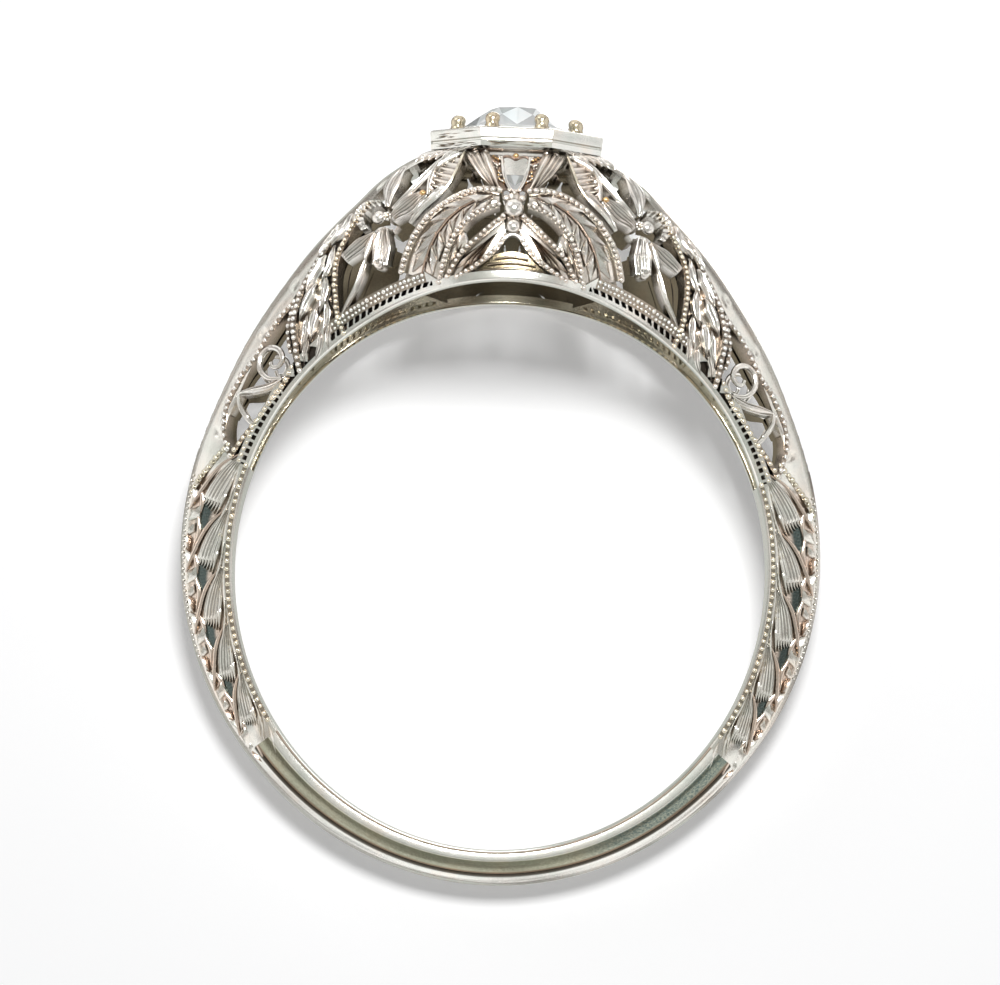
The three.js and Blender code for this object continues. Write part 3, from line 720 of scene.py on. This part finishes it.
def arm_cell(details, start, span):
    """One wheat leaf with a fringed end, the rib beyond it and the bright cuts at the outer edge."""
    k = span / 14

    def at(*places):
        return arm_points(start, [(degrees * k, share) for degrees, share in places])

    low = at((0, 0.13), (4, 0.17), (8, 0.23), (11, 0.31))
    high = at((0, 0.18), (4, 0.44), (7.5, 0.6), (10.5, 0.7))
    ruled(details, low, high, height=0.1, lift=-0.04, thickness=0.15, flutes=6, steps=40, across=43, swell=3)
    for i in range(6):
        share = 0.33 + 0.06 * i
        finger = at((9, share - 0.05), (11.5, share), (13.6 - 0.4 * i, share + 0.05))
        blade(details, finger, [0.12, 0.085, 0.01], lift=-0.04, thickness=0.15, steps=12, across=7)
    rib = at((0, 0.19), (4, 0.5), (8.5, 0.72), (13, 0.93))
    blade(details, rib, [0.06, 0.12, 0.12, 0.05], lift=-0.02, thickness=0.18, tone=ROSE)
    bank = at((8.5, 0.8), (11.5, 0.72), (14, 0.74), (17, 0.7), (20, 0.8))
    blade(details, bank, [0.05, 0.16, 0.1, 0.16, 0.05], lift=-0.07, thickness=0.1, tone=ROSE)
    fine = at((7, 0.14), (10.5, 0.18), (14, 0.28), (17, 0.44))
    blade(details, fine, [0.04, 0.09, 0.04], height=0.06, thickness=0.18)
    cuts = (
        (12.0, 0.7, 15.4, 0.94, 0.36, PLAIN), (15.4, 0.78, 18.0, 0.94, 0.24, PLAIN),
        (17.0, 0.9, 20.6, 0.86, 0.12, BROWN), (8.4, 0.92, 12.0, 0.86, 0.18, PLAIN),
    )
    for first, near, last, far, width, tone in cuts:
        cut_leaf(details, *at((first, near), (last, far)), width, height=0.1, lift=-0.03, tone=tone)
    for first in (14.3, 15.3):
        cut_leaf(details, *at((first, 0.36), (first + 0.7, 0.5)), 0.06, height=0.05, lift=-0.08)


def shank_arm(piece):
    shank_length(piece, ARM_TOP, ARM_BOTTOM, 220, arm_relief, arm_tone)
    details = Piece()
    for start, span in ARM_CELLS:
        arm_cell(details, start, span)
    for ends in (((121.5, 0.12), (127.5, 0.5)), ((125.5, 0.1), (132, 0.42)), ((119, 0.5), (124, 0.8))):
        cut_leaf(details, *arm_points(0, ends), 0.16, height=0.06)
    row = arm_points(0, [(angle, 0.065) for angle in np.linspace(ARM_TOP, ARM_BOTTOM - 3, 12)])
    blade(details, row, [0.13, 0.13], height=0.0, lift=0.015, thickness=0.1, steps=80, tone=GROOVE_SHADE)
    milgrain(details, row, 0.225, 0.08, 0.04, YELLOW)
    row = arm_points(0, [(67.5, 0.5), (71.5, 0.66), (75.5, 0.84), (78, 0.93)])
    beaded_rail(details, row, width=0.18, spacing=0.19, radius=0.085, lift=0.03, tone=YELLOW, base=SOFT_SHADE)
    milgrain(details, arm_points(0, [(angle, 0.965) for angle in np.linspace(75, 108, 10)]), 0.17, 0.05, 0.02)
    for face in (1, -1):
        piece.join(details, (1, face, 1))


def band_relief(degrees, share):
    """An inner border that slopes to the light, a soft convex middle and a groove before the outer edge."""
    line = np.interp(share, [0, 0.05, 0.27, 0.31, 0.4, 0.55, 0.7, 0.75, 0.79, 1],
                     [0.02, -0.03, 0.035, 0.01, 0.012, 0.0, -0.03, -0.08, -0.03, 0.0])
    return line + 0 * degrees


def band_tone(degrees, share):
    """Painted reflection and shade: a bright border, a middle of patchy painted reflection that turns from
    olive to dark green, and a painted dark shade line in the groove before the edge.
    """
    stations = [0, 0.01, 0.03, 0.06, 0.075, 0.27, 0.31, 0.6, 0.66, 0.7, 0.73, 0.785, 0.81, 1]
    olive, green, umber = (0.4, 0.4, 0.31), (0.13, 0.19, 0.19), (0.3, 0.22, 0.16)
    middle = [(0.52, 0.53, 0.43), (0.62, 0.62, 0.52), umber, umber]
    rims = [PLAIN, (0.9, 0.86, 0.8), (0.6, 0.5, 0.42), (0.6, 0.5, 0.42), PLAIN, PLAIN]
    painted_shades = rims + middle + [(0.12, 0.1, 0.085), (0.14, 0.12, 0.1), PLAIN, PLAIN]
    flat = np.stack([np.interp(share[0], stations, [c[i] for c in painted_shades]) for i in range(3)], -1)
    reflection_patches = clamp((share - 0.27) * 25) * clamp((0.68 - share) * 12)
    rng = np.random.default_rng(5)
    reflection_patches = (reflection_patches * rng.uniform(0.35, 1.0, (len(degrees), share.shape[1])))[..., None]
    # the painted reflection turns dark green towards one side of the band
    side = clamp((165 - degrees) / 12)[..., None]
    return flat * (1 - reflection_patches) + (side * green + (1 - side) * olive) * reflection_patches


def shank_band(piece):
    shank_length(piece, ARM_BOTTOM, 360 - ARM_BOTTOM, 420, band_relief, band_tone)


def shoulder_crest(piece):
    """The solid outer edge of a shoulder: a bevel down each face and a bright-cut strip along the top."""
    degrees = np.linspace(10.4, ARM_TOP, 300)[:, None]
    stations, widths = [10.4, 20, 30, 42, 52, 64, 67, 70], [0.2, 0.34, 0.44, 0.6, 0.56, 0.56, 0.76, 1.05]
    bevel = np.interp(degrees, stations, widths)
    share = np.concatenate([np.linspace(0, 0.96, 14), [0.985, 0.998]])[None]
    x, z = turned(crest_radius(degrees) - bevel * (1 - share), degrees)
    nicks = clamp(np.cos(np.radians(degrees) * 38) * 3 - 2.2) * clamp(1 - np.abs(share - 0.4) * 4)
    front = on_face(x, z, 0.02 - 0.07 * nicks)
    across = np.linspace(-1, 1, 17)[None, 1:-1]
    chevron = np.abs(((degrees + 2.2 * np.abs(across)) / 2.6) % 1 - 0.5) * 2
    inside = clamp((0.86 - np.abs(across)) * 8)
    cut = 0.07 * inside * (1 - chevron) * clamp((degrees - 14) / 3)
    x, z = turned(crest_radius(degrees) + 0.05 * (1 - across**4) - cut, degrees)
    top = np.stack([x, across * crest_half_width(degrees), z], -1)
    add_tube(piece, np.concatenate([front, top, front[:, ::-1] * (1, -1, 1)], axis=1))


# ---- Head ----


def octagon_radius(turn, half):
    return half / np.cos((turn + np.pi / 8) % (np.pi / 4) - np.pi / 8)


def swept_ring(piece, rows, steps=160, first=np.pi / 8):
    """A ring swept round the head: rows of (size, z, octagonal) walk round its section."""
    turn = whole_turn(steps) + first
    loop = []
    for size, z, octagonal in rows:
        radius = octagon_radius(turn, size) if octagonal else np.full_like(turn, size)
        loop.append(np.stack([radius * np.cos(turn), radius * np.sin(turn), np.full_like(turn, z)], -1))
    rings = np.stack(loop, 1)
    count, around = rings.shape[:2]
    faces = []
    for i in range(count):
        for j in range(around):
            k, m = (i + 1) % count, (j + 1) % around
            faces.append([i * around + j, k * around + j, k * around + m, i * around + m])
    piece.add_closed(rings.reshape(-1, 3), faces)


def facet_bar(piece, facet, first, last, thick, tone):
    """A thin engraver's stroke on one of the plate's eight sides, between two [across, up] points."""
    turn = facet * math.pi / 4 - math.pi / 2
    outward = np.array([math.cos(turn), math.sin(turn), 0])
    across = np.array([-math.sin(turn), math.cos(turn), 0])
    ends = [outward * (PLATE_HALF - 0.005) + across * u + np.array([0, 0, z]) for u, z in (first, last)]
    middle = (ends[0] + ends[1]) / 2
    up = np.array([0, 0, thick / 2])
    points = [ends[0], middle + up, ends[1], middle - up, middle + outward * 0.02, middle - outward * 0.02]
    faces = [[0, 1, 4], [1, 2, 4], [2, 3, 4], [3, 0, 4], [1, 0, 5], [2, 1, 5], [3, 2, 5], [0, 3, 5]]
    piece.add_closed(points, faces, tone)


ENGRAVED_SIDES = (0, 7, 3, 4, 5)  # counted round the plate from the front one
STROKES_PER_STEP = 10


def head_plate(piece):
    """The octagonal plate under the stone, with a two-step edge and engraver's strokes on five sides, most of
    them painted dark as the shade in a cut.
    """
    tall = PLATE_TOP - PLATE_BOTTOM
    step = PLATE_BOTTOM + 0.42 * tall
    edge = [
        (0.16, PLATE_BOTTOM), (0.05, PLATE_BOTTOM + 0.05), (0.03, step - 0.06), (0.09, step - 0.03),
        (0.09, step + 0.01), (0.02, step + 0.04), (0.0, PLATE_TOP - 0.08), (0.02, PLATE_TOP - 0.03),
        (0.08, PLATE_TOP), (0.3, PLATE_TOP - 0.02),
    ]
    rows = [(PLATE_HALF - inset, z, True) for inset, z in edge]
    inner = [(HEAD_HOLE + 0.12, PLATE_TOP - 0.03, False), (HEAD_HOLE, PLATE_TOP - 0.05, False)]
    swept_ring(piece, [(HEAD_HOLE, PLATE_BOTTOM, False), *rows, *inner])
    rng = np.random.default_rng(11)
    for facet in ENGRAVED_SIDES:
        for low, high in ((step + 0.08, PLATE_TOP - 0.08), (PLATE_BOTTOM + 0.08, step - 0.08)):
            for _ in range(STROKES_PER_STEP):
                u = rng.uniform(-0.95, 0.7)
                z = rng.uniform(low, high)
                far = (min(1.0, u + rng.uniform(0.2, 0.7)), z + rng.uniform(-0.03, 0.03))
                thick = rng.uniform(0.02, 0.045)
                facet_bar(piece, facet, (u, z), far, thick, GROOVE_SHADE if rng.random() < 0.75 else WARM)


def gallery_collar(piece):
    """The ring that carries the plate on the gallery."""
    half = collar_high[0] - 0.08
    swept_ring(piece, [
        (HEAD_HOLE, COLLAR_BOTTOM, False), (half - 0.16, COLLAR_BOTTOM, True),
        (half - 0.06, COLLAR_BOTTOM + 0.06, True), (half, COLLAR_TOP, True),
        (half + 0.02, PLATE_BOTTOM, True), (HEAD_HOLE, PLATE_BOTTOM, False),
    ])


PRONG_SWELL = 1.32  # a bead's width over that of the plain post


def prong(piece, index):
    """A bead prong: a short post, pinched under a domed head that leans over the stone."""
    low, high = box_mm(f"prong_{index}")
    centre = (low + high) / 2
    radius, tall = (high[0] - low[0]) / 2 * PRONG_SWELL, high[2] - low[2]
    inward = -centre[:2] / np.linalg.norm(centre[:2])
    turn = whole_turn(20)
    rows = [(1.25, 0.0), (1.12, 0.16), (0.92, 0.3), (0.86, 0.42), (0.98, 0.54), (1.0, 0.68)]
    rows += [(math.cos(a), 0.68 + 0.32 * math.sin(a)) for a in np.linspace(0.25, 1.45, 6)]
    rings = []
    for size, up in rows:
        lean = 0.05 * max(0.0, up - 0.4) / 0.6
        x = centre[0] + inward[0] * lean + radius * size * np.cos(turn)
        y = centre[1] + inward[1] * lean + radius * size * np.sin(turn)
        rings.append(np.stack([x, y, np.full_like(x, low[2] - 0.05 + (tall + 0.05) * up)], -1))
    add_tube(piece, np.array(rings), OCHRE)


def stone_collet(piece):
    """The conical seat under the stone, hidden inside the head."""
    wall, taper = 0.1, 0.85
    rows = [
        (wall + taper, SEAT_BOTTOM), (taper, SEAT_BOTTOM), (0.02, PLATE_BOTTOM), (0.0, PLATE_TOP - 0.03),
        (0.02, PLATE_TOP), (wall, PLATE_TOP),
    ]
    swept_ring(piece, [(SEAT_RADIUS - inset, z, False) for inset, z in rows], steps=96, first=0.0)


def brilliant():
    """A round brilliant as one closed shell, and the light and shade painted on each of its facets."""
    low, high = box_mm("stone")
    radius, top, bottom = high[0], high[2], low[2]
    girdle_low, girdle_high = PLATE_TOP + 0.135, PLATE_TOP + 0.2

    def ring(size, z, count, offset):
        turn = (np.arange(count) + offset) * 2 * np.pi / count
        return np.stack([size * np.sin(turn), -size * np.cos(turn), np.full(count, z)], -1)

    table = ring(radius * 0.46, top, 8, 0)
    middle = ring(radius * 0.7, top - 0.42 * (top - girdle_high), 8, 0.5)
    upper, lower = ring(radius, girdle_high, 16, 0), ring(radius, girdle_low, 16, 0)
    waist = ring(radius * 0.24, bottom + 0.22 * (girdle_low - bottom), 8, 0.5)
    points = np.concatenate([table, middle, upper, lower, waist, [[0, 0, bottom]]])
    m, u, g, w, culet = 8, 16, 32, 48, 56
    faces, painted_shades = [list(range(8))], [0.8]
    for i in range(8):
        j, before = (i + 1) % 8, (i - 1) % 8
        a, b, c = 2 * i, 2 * i + 1, (2 * i + 2) % 16
        faces += [[i, m + i, j], [i, m + before, u + a, m + i], [m + i, u + a, u + b], [m + i, u + b, u + c]]
        painted_shades += [0.6, 1.0, 0.5, 0.55]
        faces += [[u + a, g + a, g + b, u + b], [u + b, g + b, g + c, u + c]]
        painted_shades += [0.7, 0.7]
        faces += [[w + i, g + b, g + a], [w + i, g + c, g + b], [culet, w + before, g + a, w + i]]
        painted_shades += [0.55, 0.75, 0.95]
    piece = Piece()
    outward = []
    for face in faces:
        flat = points[face]
        normal = np.cross(flat[1] - flat[0], flat[2] - flat[0])
        outward.append(face if normal @ (flat.mean(0) - [0, 0, girdle_low]) > 0 else face[::-1])
    piece.add(points, outward)
    return piece, painted_shades


def place_stone():
    piece, painted_shades = brilliant()
    made = piece.to_object("stone_detail", MATERIALS["diamond"], sharp=1.0)
    made.data.color_attributes.remove(made.data.color_attributes["tone"])
    attribute = made.data.color_attributes.new("tone", "FLOAT_COLOR", "CORNER")
    # each facet is coloured with its painted light and shade
    for polygon, shade in zip(made.data.polygons, painted_shades):
        for corner in polygon.loop_indices:
            attribute.data[corner].color = (shade * 0.98, shade, shade, 1)
    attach(made, "root")
    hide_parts("stone")


# ---- Materials ----


def new_material(name):
    material = bpy.data.materials.new(name)
    material.use_nodes = True
    tree = material.node_tree
    return material, tree, tree.nodes["Principled BSDF"]


def feed(tree, node, inputs):
    """Links another node's output to an input of this node, or sets the input to a plain value."""
    for name, source in inputs.items():
        if isinstance(source, bpy.types.NodeSocket):
            tree.links.new(source, node.inputs[name])
        else:
            node.inputs[name].default_value = source


def add_node(tree, kind, inputs, output=0, **options):
    """Adds a shader node and gives back one of its outputs."""
    node = tree.nodes.new(f"ShaderNode{kind}")
    for name, value in options.items():
        setattr(node, name, value)
    feed(tree, node, inputs)
    return node.outputs[output]


def ramp(tree, source, stops):
    node = tree.nodes.new("ShaderNodeValToRGB")
    elements = node.color_ramp.elements
    while len(elements) < len(stops):
        elements.new(0.5)
    for element, (at, color) in zip(elements, stops):
        element.position = at
        element.color = (*color, 1)
    feed(tree, node, {"Fac": source})
    return node.outputs["Color"]


def multiply(tree, first, second):
    return add_node(tree, "Mix", {0: 1.0, 6: first, 7: second}, 2, data_type="RGBA", blend_type="MULTIPLY")


def tone_of_piece(tree):
    return add_node(tree, "VertexColor", {}, "Color", layer_name="tone")


def tinted(color, tint):
    return tuple(c * k for c, k in zip(color, tint))


def white_gold(name, color, roughness, patina_and_shade_color, scratch):
    """White gold: patina and painted shade, darker where little light reaches, soft colour patches, fine
    scratches from wear.
    """
    material, tree, shader = new_material(name)
    place_in_mm = add_node(tree, "Mapping", {
        "Vector": add_node(tree, "TexCoord", {}, "Object"), "Scale": (1000, 1000, 1000),
    })
    patches = add_node(tree, "TexNoise", {"Vector": place_in_mm, "Scale": 1.3, "Detail": 5}, "Fac")
    base = ramp(tree, patches, [
        (0.3, tinted(color, (0.9, 0.93, 0.92))), (0.5, color), (0.7, tinted(color, (1.04, 0.99, 0.95))),
    ])
    # ambient occlusion darkens the colour in hollows and inside the head: part patina, part painted shade
    hollow = add_node(tree, "AmbientOcclusion", {"Distance": 0.45 * MM}, "AO", samples=6)
    faint_patina_and_shade = tuple(0.6 + 0.4 * c for c in patina_and_shade_color)
    patina_and_shade = ramp(tree, hollow, [(0.06, patina_and_shade_color), (0.3, faint_patina_and_shade), (0.62, (1, 1, 1))])
    stretched = add_node(tree, "Mapping", {
        "Vector": place_in_mm, "Scale": (26, 5, 9), "Rotation": (0.4, 0.7, 0.5),
    })
    scratches = add_node(tree, "TexNoise", {
        "Vector": stretched, "Scale": 1.0, "Detail": 6, "Roughness": 0.7,
    }, "Fac")
    gloss = {"Value": scratches, "To Min": roughness * 0.7, "To Max": roughness * 1.5}
    bump = {"Height": scratches, "Strength": scratch, "Distance": 0.01 * MM}
    feed(tree, shader, {
        "Base Color": multiply(tree, multiply(tree, base, tone_of_piece(tree)), patina_and_shade),
        "Roughness": add_node(tree, "MapRange", gloss),
        "Normal": add_node(tree, "Bump", bump),
        "Metallic": 1.0,
    })
    return material


def diamond():
    """A clear stone with painted light and shade on its facets, painted coloured fire and a faint painted
    glow.
    """
    material, tree, shader = new_material("diamond")
    tone = tone_of_piece(tree)
    painted_fire = add_node(tree, "TexNoise", {
        "Vector": add_node(tree, "TexCoord", {}, "Object"), "Scale": 1500,
    }, "Fac")
    tint = ramp(tree, painted_fire, [
        (0.35, (0.86, 0.93, 0.95)), (0.5, (0.97, 0.97, 0.97)), (0.65, (0.95, 0.92, 0.95)),
    ])
    # the facets' painted light also glows faintly as emission
    feed(tree, shader, {
        "Base Color": multiply(tree, tone, tint), "Roughness": 0.02, "IOR": 2.42, "Transmission Weight": 0.4,
        "Emission Color": multiply(tree, tone, tone), "Emission Strength": 0.2,
    })
    return material


MATERIALS = {
    "polished": white_gold("polished", (0.82, 0.81, 0.77), 0.17, (0.22, 0.18, 0.14), 0.35),
    "engraved": white_gold("engraved", (0.82, 0.8, 0.75), 0.2, (0.2, 0.18, 0.15), 0.4),
    "filigree": white_gold("filigree", (0.84, 0.81, 0.77), 0.18, (0.24, 0.19, 0.15), 0.4),
    "bead": white_gold("bead", (0.8, 0.76, 0.66), 0.2, (0.3, 0.22, 0.12), 0.3),
    "diamond": diamond(),
}

# ---- Assembly ----


def place(piece, node, slot, mirror=(1, 1, 1)):
    made = piece.to_object(f"{node}_detail", MATERIALS[slot], mirror)
    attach(made, "root")
    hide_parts(node)


def drawn(draw, *options):
    piece = Piece()
    draw(piece, *options)
    return piece


FACES = (("front", 1), ("back", -1))
SIDES = (("right", 1), ("left", -1))

for draw in QUARTER:
    made = drawn(draw)
    for face, y in FACES:
        # the far-side flower gets a sheet whose underside paints the shade in its openings
        if draw is flower and face == "back":
            flower_shade_lining(made)
        for side, x in SIDES:
            place(made, f"{draw.__name__}_{face}_{side}", "filigree", (x, y, 1))
boss, rail = drawn(bow_boss), drawn(bore_rail)
for face, y in FACES:
    place(boss, f"bow_boss_{face}", "filigree", (1, y, 1))
    place(rail, f"bore_rail_{face}", "polished", (1, y, 1))
arm, crest = drawn(shank_arm), drawn(shoulder_crest)
for side, x in SIDES:
    place(arm, f"shank_arm_{side}", "engraved", (x, 1, 1))
    place(crest, f"shoulder_crest_{side}", "engraved", (x, 1, 1))
place(drawn(shank_band), "shank_band", "polished")
place(drawn(head_plate), "head_plate", "polished")
place(drawn(gallery_collar), "gallery_collar", "filigree")
place(drawn(stone_collet), "stone_collet", "polished")
for index in range(1, 9):
    place(drawn(prong, index), f"prong_{index}", "bead")
place_stone()

# ---- Stage, light and camera ----

FLOOR_Z = cad_box[0][2]
PAPER_GLOW = 0.35
SHEET_SIZE = 400  # mm
SHEET_LEAN = 8.6  # degrees, so that the ring's back nearly touches the sheet from head to foot
SHEET_AT_FOOT = 1.05  # mm from the ring's middle plane to the sheet, at the height of the ring's foot


def paper(name):
    """Bright white paper that takes a soft shadow and shows only from its front."""
    material, tree, shader = new_material(name)
    feed(tree, shader, {
        "Base Color": (0.8, 0.8, 0.8, 1), "Roughness": 1.0, "Specular IOR Level": 0.0,
        "Emission Color": (0.985, 0.99, 1, 1), "Emission Strength": PAPER_GLOW,
    })
    behind = add_node(tree, "NewGeometry", {}, "Backfacing")
    clear = add_node(tree, "BsdfTransparent", {})
    one_sided = add_node(tree, "MixShader", {"Fac": behind, 1: shader.outputs["BSDF"], 2: clear})
    feed(tree, tree.nodes["Material Output"], {"Surface": one_sided})
    return material


def stage_sheet(name, location_mm, size_mm, tilt):
    bpy.ops.mesh.primitive_plane_add(size=size_mm * MM, location=[v * MM for v in location_mm],
                                     rotation=(math.radians(tilt), 0, 0))
    made = bpy.context.object
    made.name = name
    made.data.materials.append(paper(name))
    made.visible_glossy = made.visible_diffuse = made.visible_transmission = False


def studio_world():
    """White to the camera, and for the metal a room of bright panels and darker, faintly coloured gaps."""
    world = bpy.data.worlds.new("studio")
    bpy.context.scene.world = world
    world.use_nodes = True
    world.cycles_visibility.diffuse = False
    tree = world.node_tree
    where = add_node(tree, "TexCoord", {}, "Generated")
    depth = add_node(tree, "SeparateXYZ", {"Vector": where}, "Y")
    squared = add_node(tree, "Math", {0: depth, 1: depth}, operation="MULTIPLY")
    patches = {"Vector": where, "Scale": 3.4, "Detail": 2, "Distortion": 0.6}
    noise = add_node(tree, "TexNoise", patches, "Fac")
    total = add_node(tree, "Math", {0: squared, 1: -0.34, 2: noise}, operation="MULTIPLY_ADD")
    room = ramp(tree, total, [
        (0.1, (0.42, 0.45, 0.41)), (0.2, (0.75, 0.76, 0.72)), (0.27, (0.5, 0.5, 0.47)),
        (0.31, (0.05, 0.04, 0.035)), (0.36, (0.3, 0.25, 0.22)), (0.41, (0.9, 0.88, 0.86)),
        (0.5, (1.3, 1.3, 1.28)), (0.6, (1.2, 1.2, 1.2)), (0.66, (0.2, 0.2, 0.19)), (0.72, (0.8, 0.82, 0.8)),
    ])
    seen = add_node(tree, "LightPath", {}, "Is Camera Ray")
    color = add_node(tree, "Mix", {0: seen, 6: room, 7: (1, 1, 1, 1)}, 2, data_type="RGBA")
    feed(tree, tree.nodes["Background"], {"Color": color, "Strength": 1.0})


def softbox(name, place_mm, size_mm, power):
    light = bpy.data.lights.new(name, "AREA")
    light.size = size_mm * MM
    light.energy = power
    lamp = bpy.data.objects.new(name, light)
    lamp.location = Vector(place_mm) * MM
    lamp.rotation_euler = (-lamp.location).to_track_quat("-Z", "Y").to_euler()
    bpy.context.scene.collection.objects.link(lamp)


CAMERA_DISTANCE = 130.0
CAMERA_HEIGHT = -4.5
VIEW_WIDTH = 30.53  # mm from side to side of the view, at the ring's middle plane
AIM = (-0.09, 2.395)
ROLL = 2.2  # degrees
SENSOR_WIDTH = 36


def camera():
    data = bpy.data.cameras.new("camera")
    made = bpy.data.objects.new("camera", data)
    bpy.context.scene.collection.objects.link(made)
    place_mm = Vector((AIM[0], -CAMERA_DISTANCE, CAMERA_HEIGHT))
    target = Vector((AIM[0], 0, AIM[1]))
    data.sensor_width = SENSOR_WIDTH
    data.lens = SENSOR_WIDTH * (target - place_mm).length / VIEW_WIDTH
    data.clip_start = 0.001
    data.clip_end = 20
    made.location = place_mm * MM
    look = (target - place_mm).to_track_quat("-Z", "Y").to_matrix().to_4x4()
    made.rotation_euler = (look @ Matrix.Rotation(math.radians(ROLL), 4, "Z")).to_euler()
    bpy.context.scene.camera = made


sheet_y = SHEET_AT_FOOT - FLOOR_Z / MM * math.tan(math.radians(SHEET_LEAN))
stage_sheet("backdrop", (0, sheet_y, 0), SHEET_SIZE, 90 - SHEET_LEAN)
studio_world()
softbox("key", (9, -124, 50), 28, 0.15)
softbox("fill", (-70, -50, 90), 50, 0.015)
softbox("back", (20, 110, 60), 60, 0.03)
camera()
bpy.context.scene.view_settings.view_transform = "Standard"
